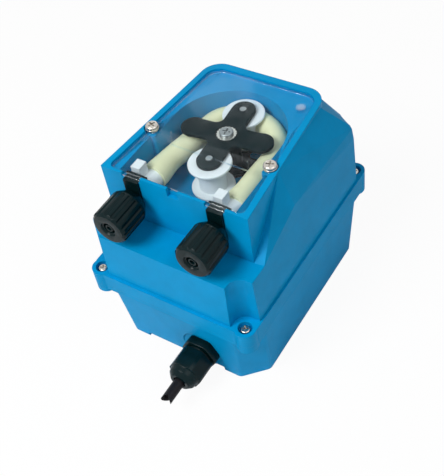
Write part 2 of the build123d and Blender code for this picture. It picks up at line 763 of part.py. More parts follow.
def make_gearbox_case():
    body = prism(case_plan(), CASE_Z, LID_Z - CASE_Z - FIT)
    cavity = prism(case_plan(-CASE_WALL), CASE_Z + CASE_WALL, 30)
    for x, y in case_screws():
        cavity = cavity - cyl(x, y, CASE_Z, 3.2, 40)
    body = body - cavity
    body = body - cyl(O_XY[0], O_XY[1], CASE_Z + 0.4, SHAFT_R + RUN, 10)
    body = body - cyl(MOTOR_AT[0], MOTOR_AT[1], CASE_Z - 1, 4.0, 10)
    for x, y in (S_XY, F_XY):
        body = body - cyl(x, y, CASE_Z + 0.5, AXLE_R + FIT, 10)
    for x, y in case_screws():
        body = body - cyl(x, y, CASE_Z - 1, 1.4, 40)
    return body


def make_gearbox_lid():
    body = prism(case_plan(), LID_Z, LID_T)
    body = body - cyl(O_XY[0], O_XY[1], LID_Z - 1, SHAFT_R + 1.0, 10)
    for x, y in (S_XY, F_XY):
        body = body - cyl(x, y, LID_Z - 1, AXLE_R + FIT, 10)
    for x, y in case_screws():
        body = body - cyl(x, y, LID_Z - 1, 1.4, 10)
    return body


def make_gear_axles():
    z0 = CASE_Z + 0.6
    h = LID_Z + LID_T - 0.2 - z0
    parts = [cyl(x, y, z0, AXLE_R, h) for x, y in (S_XY, F_XY)]
    return Compound(children=[p.solids()[0] for p in parts])


def make_case_screws():
    length = BASE_LOW + 1.6 - CASE_Z
    parts = []
    for x, y in case_screws():
        shank = cyl(x, y, CASE_Z - FIT, 1.25, length)
        head = cyl(x, y, CASE_Z - FIT - 1.8, 2.4, 1.8)
        head = head - block(x - 1.6, x + 1.6, y - 0.3, y + 0.3, CASE_Z - 3, CASE_Z - 1.2)
        parts.append((shank + head).solids()[0])
    return Compound(children=parts)


def make_bush():
    body = cyl(0, 0, BASE_LOW + FIT, BUSH_R, CHAMBER_BASE_T - FIT)
    body = body - cyl(0, 0, BASE_LOW - 1, SHAFT_R + RUN, 10)
    return Pos(0, AXIS_Y, 0) * body


MOTOR_TOP = CASE_Z - FIT
MOTOR_LOW = MOTOR_TOP - MOTOR_H


def at_motor(shape):
    return Pos(MOTOR_AT[0], MOTOR_AT[1], 0) * shape


def make_motor_can():
    body = cyl(0, 0, MOTOR_LOW, MOTOR_R, MOTOR_H)
    body = body - cyl(0, 0, MOTOR_LOW - 1, MOTOR_R - MOTOR_SKIN, MOTOR_H + 1 - 1.6)
    body = body - cyl(0, 0, MOTOR_LOW, ARM_SHAFT_R + RUN, MOTOR_H + 5)
    for turn in range(0, 360, 30):
        body = body - Rot(0, 0, turn) * block(MOTOR_R - 4, MOTOR_R + 2, -1.2, 1.2, MOTOR_LOW + 6, MOTOR_LOW + 12)
    return at_motor(body)


def make_motor_coil():
    z0 = MOTOR_LOW + 4.0
    body = cyl(0, 0, z0, COIL_R + 1.5, MOTOR_H - 7.6) - cyl(0, 0, z0 - 1, COIL_IN_R, MOTOR_H)
    groove = cyl(0, 0, z0 + 2.0, COIL_R + 5, MOTOR_H - 11.6) - cyl(0, 0, z0, COIL_R, MOTOR_H)
    return at_motor(body - groove)


def make_motor_cap():
    body = cyl(0, 0, MOTOR_LOW + 0.4, MOTOR_R - MOTOR_SKIN - FIT, 1.6)
    body = body + cyl(0, 0, MOTOR_LOW + 0.4, 5.0, 3.0)
    body = body - cyl(0, 0, MOTOR_LOW + 1.0, ARM_SHAFT_R + RUN, 10)
    return at_motor(body)


def make_armature():
    magnet = cyl(0, 0, MOTOR_LOW + 5.0, MAGNET_R, MOTOR_H - 9.6)
    magnet = magnet - (cyl(0, 0, MOTOR_LOW + 8.0, MAGNET_R - 3.0, 40) - cyl(0, 0, MOTOR_LOW, 4.0, 60))
    shaft = cyl(0, 0, MOTOR_LOW + 1.2, ARM_SHAFT_R, FIRST_Z + FIRST_T + 0.6 - MOTOR_LOW - 1.2)
    return at_motor(magnet + shaft)


# ---------------------------------------------------------------- hose
def tube_path():
    """Hose route in plan: left port, slack run to the wall, round the wall, right port."""
    hug = CHAMBER_R - TUBE_R - TUBE_WALL_GAP
    start = math.radians(TUBE_MEET_ANGLE)
    end = math.radians(TUBE_LEAVE_ANGLE)
    meet_at = Vector(hug * math.cos(start), AXIS_Y + hug * math.sin(start), PORT_Z)
    leave_at = Vector(hug * math.cos(end), AXIS_Y + hug * math.sin(end), PORT_Z)
    back = Vector(-math.sin(start), math.cos(start), 0)
    slack = Vector(math.cos(math.radians(TUBE_SLACK_HEADING)), math.sin(math.radians(TUBE_SLACK_HEADING)), 0)
    left_bend = Vector(-PORT_X, TUBE_STRAIGHT_Y, PORT_Z)
    # corner where the slack run meets the tangent of the wall arc
    gap = meet_at - left_bend
    det = slack.X * -back.Y + back.X * slack.Y
    run = (gap.X * -back.Y + back.X * gap.Y) / det
    corner = left_bend + slack * run
    drop = (leave_at.X - PORT_X) / math.tan(-end)
    right_bend = Vector(PORT_X, leave_at.Y - drop, PORT_Z)
    left = FilletPolyline(
        Vector(-PORT_X, TUBE_END_Y, PORT_Z), left_bend, corner, meet_at,
        radius=[TUBE_SOFT_R, TUBE_BEND_R])
    wall = CenterArc((0, AXIS_Y, PORT_Z), hug, TUBE_MEET_ANGLE, TUBE_LEAVE_ANGLE - TUBE_MEET_ANGLE)
    right = FilletPolyline(leave_at, right_bend, Vector(PORT_X, TUBE_END_Y, PORT_Z), radius=TUBE_SOFT_R)
    return Wire(left.edges() + wall.edges() + right.edges())


def tube_rod(r):
    section = Plane(origin=(-PORT_X, TUBE_END_Y, PORT_Z), x_dir=(1, 0, 0), z_dir=(0, 1, 0)) * Circle(r)
    return sweep(section, path=tube_path())


def make_tube():
    outer = tube_rod(TUBE_R)
    inner = tube_rod(TUBE_BORE_R)
    core = at_axis(cyl(0, PIN_CIRCLE_R, 80, ROLLER_CORE_R + TUBE_ROLLER_GAP, 40))
    pinch = at_axis(cyl(0, PIN_CIRCLE_R, 80, ROLLER_CORE_R + TUBE_ROLLER_GAP + TUBE_R - TUBE_BORE_R, 40))
    return outer - core - (inner - pinch)


def make_barb(s):
    """White inner connector: square plate with a tab, sleeve, and pipe into the hose."""
    x = s * PORT_X
    y0 = -HEAD_FRONT + FRONT_WALL + NIPPLE_IN
    y1 = y0 + BARB_PLATE_T
    plate = block(x - BARB_PLATE_W / 2, x + BARB_PLATE_W / 2, y0, y1,
                  PORT_Z - BARB_PLATE_LOW, PORT_Z + BARB_PLATE_HIGH)
    plate = fillet(plate.edges().filter_by(Axis.Y), BARB_CORNER_R)
    tab = block(x - BARB_TAB_OUT, x - BARB_TAB_OUT + BARB_TAB_W, y1 - 0.1, y1 + BARB_TAB_LEN,
                PORT_Z, DECK_Z - BARB_TAB_TOP_GAP)
    body = plate + tab + ycyl(x, PORT_Z, BARB_SLEEVE_R, y1 - 0.1, TUBE_END_Y - TUBE_END_GAP)
    body = body + ycyl(x, PORT_Z, BARB_R, y1, BARB_TIP_Y)
    return body - ycyl(x, PORT_Z, BARB_BORE_R, y0 - 1, 0)


def make_nipple(s):
    """Black outer fitting: slab in the notch, boss for the nut and hose pipe."""
    x = s * PORT_X
    w = NOTCH_W / 2 - 0.1
    y_out = -HEAD_FRONT - 1.2
    y_in = -HEAD_FRONT + FRONT_WALL + NIPPLE_IN - FIT
    slab = block(x - w, x + w, y_out, y_in, PORT_Z, DECK_Z - 0.15)
    slab = slab + ycyl(x, PORT_Z, w, y_out, y_in)
    flange = block(x - w - 1.6, x + w + 1.6, y_in - 1.6, y_in, PORT_Z - w - 1.6, DECK_Z - 0.4)
    body = slab + flange
    y_nut = y_out - NIPPLE_LEN
    body = body + ycyl(x, PORT_Z, NIPPLE_R, y_nut, y_out + 0.5)
    y_tip = -HEAD_FRONT - 1.6 - NUT_LEN + 0.8
    body = body + ycyl(x, PORT_Z, PIPE_R, y_tip, y_nut + 0.5)
    body = body - ycyl(x, PORT_Z, PIPE_BORE_R, -80, -20)
    return body - ycyl(x, PORT_Z, BARB_BORE_R, -HEAD_FRONT - 1, -20)


def make_nut(s):
    """Ribbed ring nut with a conical shoulder towards the housing."""
    profile = [
        (NUT_CAVITY_R + 0.02, 0.0),
        (NUT_BACK_R, 0.0),
        (NUT_R - 0.2, NUT_SHOULDER),
        (NUT_R, NUT_SHOULDER + 0.6),
        (NUT_R, NUT_LEN - NUT_NOSE_C),
        (NUT_R - NUT_NOSE_C, NUT_LEN),
        (NUT_RING_R, NUT_LEN),
        (NUT_RING_R - 0.4, NUT_LEN - NUT_RING_DEPTH),
        (NUT_HOLE_R, NUT_LEN - NUT_RING_DEPTH),
        (NUT_HOLE_R, NUT_CAVITY_LEN),
        (NUT_CAVITY_R + 0.02, NUT_CAVITY_LEN - 1.2),
    ]
    face = make_face(Plane.XZ * Polyline(*profile, close=True))
    body = revolve(face, Axis.Z)
    for i in range(NUT_RIBS):
        a = 360.0 * i / NUT_RIBS
        groove = cyl(NUT_R + 0.45, 0, NUT_SHOULDER + 1.2, NUT_GROOVE_R, NUT_LEN)
        body = body - Rot(0, 0, a) * groove
    return Pos(s * PORT_X, -HEAD_FRONT - 1.6, PORT_Z) * Rot(90, 0, 0) * body


# ---------------------------------------------------------------- cable gland
def hexagon(across):
    return RegularPolygon(across / 2, 6, major_radius=False)


def y_prism(face, y_from, y_to):
    """Prism of a plan face, laid along -Y from y_from to y_to at the gland axis."""
    length = y_from - y_to
    return Pos(GLAND_X, y_from, GLAND_Z) * Rot(90, 0, 0) * extrude(face, amount=length)


def make_gland_body():
    y0 = GLAND_FACE_Y - FIT
    body = y_prism(hexagon(GLAND_HEX), y0, y0 - GLAND_HEX_T)
    round_off = ycyl(GLAND_X, GLAND_Z, GLAND_HEX / 2 * 1.1, y0, y0 - GLAND_HEX_T)
    body = body & round_off
    body = body + ycyl(GLAND_X, GLAND_Z, GLAND_THREAD_R, y0 + GLAND_IN_LEN, y0)
    body = body + ycyl(GLAND_X, GLAND_Z, GLAND_OUT_R, y0 - GLAND_HEX_T - GLAND_OUT_LEN, y0 - GLAND_HEX_T)
    return body - ycyl(GLAND_X, GLAND_Z, GLAND_BORE_R, -100, -40)


def cap_start():
    return GLAND_FACE_Y - FIT - GLAND_HEX_T - CAP_GAP


def make_gland_cap():
    y0 = cap_start()
    body = y_prism(hexagon(CAP_HEX), y0, y0 - CAP_LEN)
    body = body & ycyl(GLAND_X, GLAND_Z, CAP_HEX / 2 * 1.09, y0, y0 - CAP_LEN)
    dome = [
        (0, 0), (CAP_HEX / 2 - 0.4, 0), (CAP_HEX / 2 - 1.2, CAP_DOME * 0.55),
        (CAP_HEX / 2 - 3.4, CAP_DOME), (0, CAP_DOME),
    ]
    face = make_face(Plane.XZ * Polyline(*dome, close=True))
    nose = Pos(GLAND_X, y0 - CAP_LEN + 0.01, GLAND_Z) * Rot(90, 0, 0) * revolve(face, Axis.Z)
    body = body + nose
    inner_end = GLAND_FACE_Y - FIT - GLAND_HEX_T - GLAND_OUT_LEN
    body = body - ycyl(GLAND_X, GLAND_Z, GLAND_OUT_R + RUN, y0 + 1, inner_end - 2.6)
    return body - ycyl(GLAND_X, GLAND_Z, CAP_HOLE_R, -120, -40)


def make_gland_seal():
    y0 = GLAND_FACE_Y - FIT - GLAND_HEX_T - GLAND_OUT_LEN
    body = ycyl(GLAND_X, GLAND_Z, GLAND_BORE_R - FIT, y0 + 8.0, y0)
    body = body + ycyl(GLAND_X, GLAND_Z, GLAND_OUT_R - 0.6, y0 - FIT, y0 - 2.0)
    body = body + ycyl(GLAND_X, GLAND_Z, GLAND_BORE_R - FIT, y0 + 1, y0 - 1)
    return body - ycyl(GLAND_X, GLAND_Z, CABLE_R + FIT, -120, -40)


def make_lock_nut():
    y1 = -57.0 + FIT
    body = Pos(GLAND_X, y1 + LOCK_T, GLAND_Z) * Rot(90, 0, 0) * extrude(hexagon(LOCK_HEX - 1.4), amount=LOCK_T)
    return body - ycyl(GLAND_X, GLAND_Z, GLAND_THREAD_R + FIT, -70, -40)


def make_cable():
    y_in = -46.0 + CABLE_IN
    y_nose = cap_start() - CAP_LEN - CAP_DOME
    body = ycyl(GLAND_X, GLAND_Z, CABLE_R, y_in, y_nose - CABLE_OUT)
    wedge = Pos(GLAND_X, y_nose - CABLE_OUT, GLAND_Z) * Rot(0, 0, 45) * Box(4.6, 4.6, 20)
    return body - wedge


# ---------------------------------------------------------------- circuit board
BOARD_Z = FOOT_H + FLOOR_T + POST_H + FIT


def make_board():
    body = prism(Pos(0, BOARD_Y) * RectangleRounded(BOARD_W, BOARD_D, 2.0), BOARD_Z, BOARD_T)
    for x, y in board_holes():
        body = body - cyl(x, y, BOARD_Z - 1, BOARD_SCREW_R + 0.2, 10)
    return body


def make_board_screws():
    one = screw(BOARD_SCREW_R, 2.3, 1.6, 4.4)
    parts = [Pos(x, y, BOARD_Z + BOARD_T + FIT) * one for x, y in board_holes()]
    return Compound(children=[p.solids()[0] for p in parts])


def make_terminal_block():
    z0 = BOARD_Z + BOARD_T + FIT
    x0 = GLAND_X - 8.0
    body = block(x0, x0 + 16.0, BOARD_Y - 16.0, BOARD_Y - 7.0, z0, z0 + 10.0)
    for i in range(3):
        x = x0 + 3.0 + 5.0 * i
        body = body - cyl(x, BOARD_Y - 11.0, z0 + 6.0, 1.6, 10)
        body = body - block(x - 1.5, x + 1.5, BOARD_Y - 20, BOARD_Y - 12.0, z0 + 1.6, z0 + 4.8)
    return body


# ---------------------------------------------------------------- output
save(make_rear_box(), "rear_box")
save(make_seal(), "housing_seal")
save(make_front_housing(), "front_housing")
save(make_cover(), "cover")
save(make_cover_screws(), "cover_screws")
save(make_lug_screws(), "housing_screws")
save(make_rotor_top(), "rotor_top")
save(make_rotor_base(), "rotor_base")
save(make_pins(), "roller_pins")
save(make_roller(pin_places()[0]), "roller_back")
save(make_roller(pin_places()[1]), "roller_front")
save(make_hub_washer(), "hub_washer")
save(make_hub_screw(), "hub_screw")
save(make_drive_shaft(), "drive_shaft")
save(make_bush(), "shaft_bush")
save(make_output_gear(), "output_gear")
save(make_second_gear(), "second_gear")
save(make_first_gear(), "first_gear")
save(make_motor_pinion(), "motor_pinion")
save(make_gear_axles(), "gear_axles")
save(make_gearbox_case(), "gearbox_case")
save(make_gearbox_lid(), "gearbox_lid")
save(make_case_screws(), "gearbox_screws")
save(make_motor_can(), "motor_can")
save(make_motor_coil(), "motor_coil")
save(make_motor_cap(), "motor_cap")
save(make_armature(), "armature")
save(make_tube(), "pump_tube")
for side, sign in (("left", -1), ("right", 1)):
    save(make_barb(sign), "tube_barb_" + side)
    save(make_nipple(sign), "hose_nipple_" + side)
    save(make_nut(sign), "ring_nut_" + side)
save(make_gland_body(), "gland_body")
save(make_gland_cap(), "gland_cap")
save(make_gland_seal(), "gland_seal")
save(make_lock_nut(), "gland_lock_nut")
save(make_cable(), "cable")
save(make_board(), "circuit_board")
save(make_board_screws(), "board_screws")
save(make_terminal_block(), "terminal_block")
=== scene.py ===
"""Looks of a small peristaltic dosing pump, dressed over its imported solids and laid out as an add-on."""

import math

import bmesh
import bpy
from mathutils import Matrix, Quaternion, Vector


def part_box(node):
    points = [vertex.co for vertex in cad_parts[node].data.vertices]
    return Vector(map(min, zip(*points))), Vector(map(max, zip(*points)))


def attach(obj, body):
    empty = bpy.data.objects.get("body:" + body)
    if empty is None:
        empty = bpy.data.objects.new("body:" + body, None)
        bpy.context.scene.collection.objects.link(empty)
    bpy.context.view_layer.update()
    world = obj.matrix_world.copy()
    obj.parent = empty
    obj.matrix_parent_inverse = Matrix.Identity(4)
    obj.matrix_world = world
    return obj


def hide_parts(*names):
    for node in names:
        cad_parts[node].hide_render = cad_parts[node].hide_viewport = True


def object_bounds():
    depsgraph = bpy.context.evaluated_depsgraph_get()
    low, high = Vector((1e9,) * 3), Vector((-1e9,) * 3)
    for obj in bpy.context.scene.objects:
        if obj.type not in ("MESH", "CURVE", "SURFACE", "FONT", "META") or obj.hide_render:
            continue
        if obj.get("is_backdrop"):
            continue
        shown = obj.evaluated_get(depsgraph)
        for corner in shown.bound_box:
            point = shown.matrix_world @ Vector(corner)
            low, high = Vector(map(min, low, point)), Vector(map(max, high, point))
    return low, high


bl_info = {
    "name": "Dosing pump looks",
    "version": (1, 0, 0),
    "blender": (4, 5, 0),
    "location": "3D View > Sidebar > Pump",
    "description": "Finishes and fine pieces of a peristaltic dosing pump",
    "category": "Object",
}

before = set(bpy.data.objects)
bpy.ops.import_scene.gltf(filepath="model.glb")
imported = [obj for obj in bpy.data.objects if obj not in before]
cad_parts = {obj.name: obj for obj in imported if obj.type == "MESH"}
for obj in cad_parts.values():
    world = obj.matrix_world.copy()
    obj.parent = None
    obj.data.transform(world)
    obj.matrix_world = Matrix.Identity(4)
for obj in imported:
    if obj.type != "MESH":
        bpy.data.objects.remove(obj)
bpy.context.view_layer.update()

MM = 0.001
CLEAR_REFLECTION = 0.007
# Painted edge highlight: the clear plate's walls get this much extra mirror share, so its edges show as
# bright white lines.
EDGE_HIGHLIGHT_MIRROR = 0.30
COLLAR_LIP = 0.2 * MM
COLLAR_DEPTH = 1.0 * MM
COLLAR_PROUD = 0.75 * MM
RIB_ROUTE = ((-25.6, -5.3), (-20.0, -12.9), (25.0, -12.9), (20.8, -7.6))
RIB_DEPTH = 1.1 * MM
RIB_WIDTH = 0.7 * MM
HOSE_PUSHED_ON = 2.5 * MM
SWELL_REACH = 10.0 * MM
SWELL_STEPS = 8
SWELL_SHARE = 0.14
SWELL_HALF_WIDTH = 12.0 * MM
# A disc on the clear plate that mirrors more of the white surroundings and so shows as a white disc.
BRIGHT_DISC_CENTRE = (27.0 * MM, 35.6 * MM, 110.5 * MM)
BRIGHT_DISC_RADIUS = 3.2 * MM
FLOOR_WHITENING = 0.94
GRAIN_DEPTH = 0.018 * MM
SMOOTH_ANGLE = math.radians(40.0)
MERGE_GAP = 0.002 * MM


# ---------------------------------------------------------------- settings
def colour_setting(name, description, default):
    return bpy.props.FloatVectorProperty(
        name=name, description=description, default=default, subtype="COLOR", size=3, min=0.0, max=1.0)


def length_setting(name, description, default):
    return bpy.props.FloatProperty(
        name=name, description=description, default=default, unit="LENGTH", min=0.0)


class PumpColours(bpy.types.PropertyGroup):
    """Colours of the pump's materials, linear."""

    housing: colour_setting("Housing", "Moulded blue of both housing halves", (0.0, 0.285, 0.590))
    black: colour_setting("Black parts", "Nuts, gland and rotor", (0.0015, 0.011, 0.013))
    white: colour_setting("White parts", "Rollers and hose connectors", (0.88, 0.90, 0.91))
    hose: colour_setting("Pump hose", "Cream elastomer", (0.88, 0.85, 0.54))
    cable: colour_setting("Cable", "Jacket of the supply cable", (0.010, 0.010, 0.012))
    steel: colour_setting("Screws", "Bright plated steel", (0.52, 0.50, 0.46))


class PumpSizes(bpy.types.PropertyGroup):
    """Sizes that the fine pieces are made to."""

    cable_diameter: length_setting("Cable diameter", "Outer diameter of the jacket", 6.0 * MM)
    edge_radius: length_setting("Moulded edge", "Radius of the housing's softened edges", 0.5 * MM)


class StageSettings(bpy.types.PropertyGroup):
    """Camera and light."""

    camera_azimuth: bpy.props.FloatProperty(
        name="Azimuth", description="Heading of the view from +Y", default=math.radians(-39.2),
        subtype="ANGLE")
    camera_elevation: bpy.props.FloatProperty(
        name="Elevation", description="How far the view looks down", default=math.radians(48.03),
        subtype="ANGLE")
    camera_roll: bpy.props.FloatProperty(
        name="Roll", description="Turn of the picture", default=math.radians(10.19), subtype="ANGLE")
    camera_place: bpy.props.FloatVectorProperty(
        name="Place", description="Where the camera stands", default=(0.1982, -0.2519, 0.3943),
        subtype="TRANSLATION", unit="LENGTH")
    focal_length: bpy.props.FloatProperty(
        name="Focal length", description="On a 36 mm sensor", default=64.9, unit="CAMERA")
    floor_colour: colour_setting("Floor", "Pale floor", (0.92, 0.92, 0.92))
    ambient: bpy.props.FloatProperty(
        name="Ambient", description="Strength of the surroundings on matt surfaces", default=0.24, min=0.0)


# ---------------------------------------------------------------- shader maths
class Wire:
    """A socket's value. Arithmetic on it adds Math nodes."""

    def __init__(self, finish, socket):
        self.finish = finish
        self.socket = socket

    def _math(self, operation, first, second):
        return self.finish.node("ShaderNodeMath", {"operation": operation}, {0: first, 1: second})

    def __add__(self, other):
        return self._math("ADD", self, other)

    def __radd__(self, other):
        return self._math("ADD", other, self)

    def __mul__(self, other):
        return self._math("MULTIPLY", self, other)

    def __rmul__(self, other):
        return self._math("MULTIPLY", other, self)



class Finish:
    """A material as it is built: one Principled shader and the nodes that feed it."""

    def __init__(self, name, colour, roughness, metallic=0.0, specular=0.5):
        self.material = bpy.data.materials.new(name)
        self.material.use_nodes = True
        self.tree = self.material.node_tree
        self.tree.nodes.clear()
        self.output = self.tree.nodes.new("ShaderNodeOutputMaterial")
        self.shader = self.tree.nodes.new("ShaderNodeBsdfPrincipled")
        self.tree.links.new(self.shader.outputs[0], self.output.inputs["Surface"])
        self.set("Base Color", (*colour, 1.0))
        self.set("Roughness", roughness)
        self.set("Metallic", metallic)
        self.set("Specular IOR Level", specular)

    def feed(self, socket, value):
        if isinstance(value, Wire):
            self.tree.links.new(value.socket, socket)
        else:
            socket.default_value = value

    def set(self, name, value):
        self.feed(self.shader.inputs[name], value)

    def node(self, kind, settings=None, inputs=None, output=0):
        """Adds a node: its settings first, then its sockets' values or links."""
        made = self.tree.nodes.new(kind)
        for name, value in (settings or {}).items():
            setattr(made, name, value)
        for name, value in (inputs or {}).items():
            self.feed(made.inputs[name], value)
        return Wire(self, made.outputs[output])

    def place(self):
        """Object coordinates, in metres."""
        return self.node("ShaderNodeTexCoord", output="Object")

    def noise(self, grain, detail=2.0, rough=0.5):
        """Noise whose grains are about this many metres across."""
        return self.node("ShaderNodeTexNoise", {}, {
            "Vector": self.place(), "Scale": 1.0 / grain, "Detail": detail, "Roughness": rough})

    def spread(self, value, low, high, to_low, to_high):
        """value from low..high mapped to to_low..to_high, clamped."""
        return self.node("ShaderNodeMapRange", {"clamp": True}, {
            "Value": value, "From Min": low, "From Max": high, "To Min": to_low, "To Max": to_high})

    def away_from(self, point):
        """Distance from a point, in metres."""
        return self.node(
            "ShaderNodeVectorMath", {"operation": "DISTANCE"}, {0: self.place(), 1: point}, output=1)

    def uprightness(self):
        """Up part of the true normal: 1 on level faces, 0 on walls."""
        normal = self.node("ShaderNodeNewGeometry", output=3)
        parts = self.tree.nodes.new("ShaderNodeSeparateXYZ")
        self.feed(parts.inputs[0], normal)
        return self._absolute(Wire(self, parts.outputs[2]))

    def _absolute(self, value):
        return self.node("ShaderNodeMath", {"operation": "ABSOLUTE"}, {0: value})

    def blend(self, factor, first, second):
        """Colour between first and second."""
        return self.node("ShaderNodeMix", {"data_type": "RGBA"}, {0: factor, 6: first, 7: second}, output=2)

    def shade(self, colour, share):
        """A colour scaled by a number, as a colour socket value."""
        return (*[min(1.0, c * share) for c in colour], 1.0)

    def bump(self, height, depth, edge=0.0):
        """Bump of this many metres, over edges rounded to the edge radius."""
        inputs = {"Height": height, "Distance": depth, "Strength": 1.0}
        if edge:
            inputs["Normal"] = self.node("ShaderNodeBevel", {"samples": 4}, {"Radius": edge})
        self.set("Normal", self.node("ShaderNodeBump", {}, inputs))


def moulded(name, colour, roughness, edge, grain=0.35 * MM, specular=0.5, mottle=0.10):
    """Injection-moulded plastic: fine grain, faint mottling and softened edges."""
    finish = Finish(name, colour, roughness, specular=specular)
    cloud = finish.noise(14 * MM, 3.0, 0.6)
    speck = finish.noise(grain, 2.0, 0.6)
    finish.set("Base Color", finish.blend(
        finish.spread(cloud, 0.3, 0.7, 0.0, 1.0),
        finish.shade(colour, 1.0 - mottle), finish.shade(colour, 1.0 + mottle)))
    finish.set("Roughness", finish.spread(speck, 0.3, 0.7, roughness - 0.05, roughness + 0.06))
    finish.bump(speck, GRAIN_DEPTH, edge=edge)
    return finish.material


def metal(name, colour, roughness):
    """Plated or machined metal with a fine uneven polish."""
    finish = Finish(name, colour, roughness, metallic=1.0)
    streak = finish.noise(0.5 * MM, 3.0, 0.7)
    finish.set("Roughness", finish.spread(streak, 0.3, 0.7, roughness * 0.7, roughness * 1.3))
    finish.bump(streak, 0.01 * MM, edge=0.12 * MM)
    return finish.material


def clear_plate(name):
    """Clear polished plastic: what lies under it shows through, and shallow views reflect."""
    finish = Finish(name, (0.93, 0.97, 1.0), 0.08, metallic=1.0)
    scuff = finish.noise(7 * MM, 4.0, 0.6)
    finish.set("Roughness", finish.spread(scuff, 0.4, 0.8, 0.06, 0.16))
    see = finish.tree.nodes.new("ShaderNodeBsdfTransparent")
    see.inputs["Color"].default_value = (0.95, 0.98, 0.99, 1.0)
    facing = finish.node("ShaderNodeLayerWeight", {}, {"Blend": 0.5}, output=1)
    square = facing * facing
    haze = finish.spread(scuff, 0.45, 0.75, 0.0, 0.010)
    # Painted edge highlight: the walls of the plate mirror more of the white surroundings than its level
    # faces do.
    edge = finish.spread(finish.uprightness(), 0.4, 0.97, EDGE_HIGHLIGHT_MIRROR, 0.0)
    # Inside this disc the plate mirrors more of the white surroundings, giving a white disc.
    bright_disc = finish.spread(finish.away_from(BRIGHT_DISC_CENTRE), 0.55 * BRIGHT_DISC_RADIUS, BRIGHT_DISC_RADIUS, 0.28, 0.0)
    mix = finish.tree.nodes.new("ShaderNodeMixShader")
    finish.feed(mix.inputs["Fac"], square * square * facing * 0.9 + haze + edge + bright_disc + CLEAR_REFLECTION)
    finish.tree.links.new(see.outputs[0], mix.inputs[1])
    finish.tree.links.new(finish.shader.outputs[0], mix.inputs[2])
    finish.tree.links.new(mix.outputs[0], finish.output.inputs["Surface"])
    return finish.material


# ---------------------------------------------------------------- modelling
def deselect():
    if bpy.context.object and bpy.context.object.mode != "OBJECT":
        bpy.ops.object.mode_set(mode="OBJECT")
    bpy.ops.object.select_all(action="DESELECT")


def put_finish(piece, material):
    piece.data.materials.clear()
    piece.data.materials.append(material)


def dress(nodes, material):
    """Gives CAD nodes their finish."""
    for name in nodes:
        put_finish(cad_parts[name], material)


def settle(piece, name):
    """Names a finished piece and puts its place into its mesh."""
    deselect()
    piece.select_set(True)
    bpy.context.view_layer.objects.active = piece
    bpy.ops.object.transform_apply(location=True, rotation=True, scale=True)
    piece.name = name
    piece.data.name = name
    return piece


def add_piece(piece, name, body, material, slot, *nodes):
    """Finishes a piece, lets it ride on a body and stand for CAD nodes."""
    settle(piece, name)
    put_finish(piece, material)
    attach(piece, body)
    if nodes:
        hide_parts(*nodes)
    return piece


def middle(node):
    low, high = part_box(node)
    return (low + high) / 2


def edit(piece):
    """Makes a piece the only selected one and opens its mesh with nothing selected."""
    deselect()
    piece.select_set(True)
    bpy.context.view_layer.objects.active = piece
    bpy.ops.object.mode_set(mode="EDIT")
    bpy.ops.mesh.select_all(action="DESELECT")
    return bmesh.from_edit_mesh(piece.data)


def close_edit():
    bpy.ops.object.mode_set(mode="OBJECT")


def merged_copy(node, name):
    """A new piece that starts as a CAD node's solid, merged into one clean mesh."""
    piece = bpy.data.objects.new(name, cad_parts[node].data.copy())
    piece.data.materials.clear()
    bpy.context.scene.collection.objects.link(piece)
    edit(piece)
    bpy.ops.mesh.select_all(action="SELECT")
    bpy.ops.mesh.remove_doubles(threshold=MERGE_GAP)
    bpy.ops.mesh.dissolve_limited(angle_limit=math.radians(0.5))
    close_edit()
    return piece


def apply_modifier(piece, kind, **settings):
    deselect()
    piece.select_set(True)
    bpy.context.view_layer.objects.active = piece
    modifier = piece.modifiers.new(kind.title(), kind)
    for name, value in settings.items():
        setattr(modifier, name, value)
    bpy.ops.object.modifier_apply(modifier=modifier.name)


def round_edges(piece, width, angle=28.0, segments=3):
    """Rolls over every edge that is sharper than the angle."""
    apply_modifier(piece, "BEVEL", width=width, segments=segments, limit_method="ANGLE",
                   angle_limit=math.radians(angle), use_clamp_overlap=True)
    bpy.ops.object.shade_smooth_by_angle(angle=SMOOTH_ANGLE)


def rounded_piece(node, name, body, material, slot, width, angle=28.0):
    """A CAD node's solid with its edges rolled over, which stands for the node."""
    piece = merged_copy(node, name)
    round_edges(piece, width, angle)
    return add_piece(piece, name, body, material, slot, node)


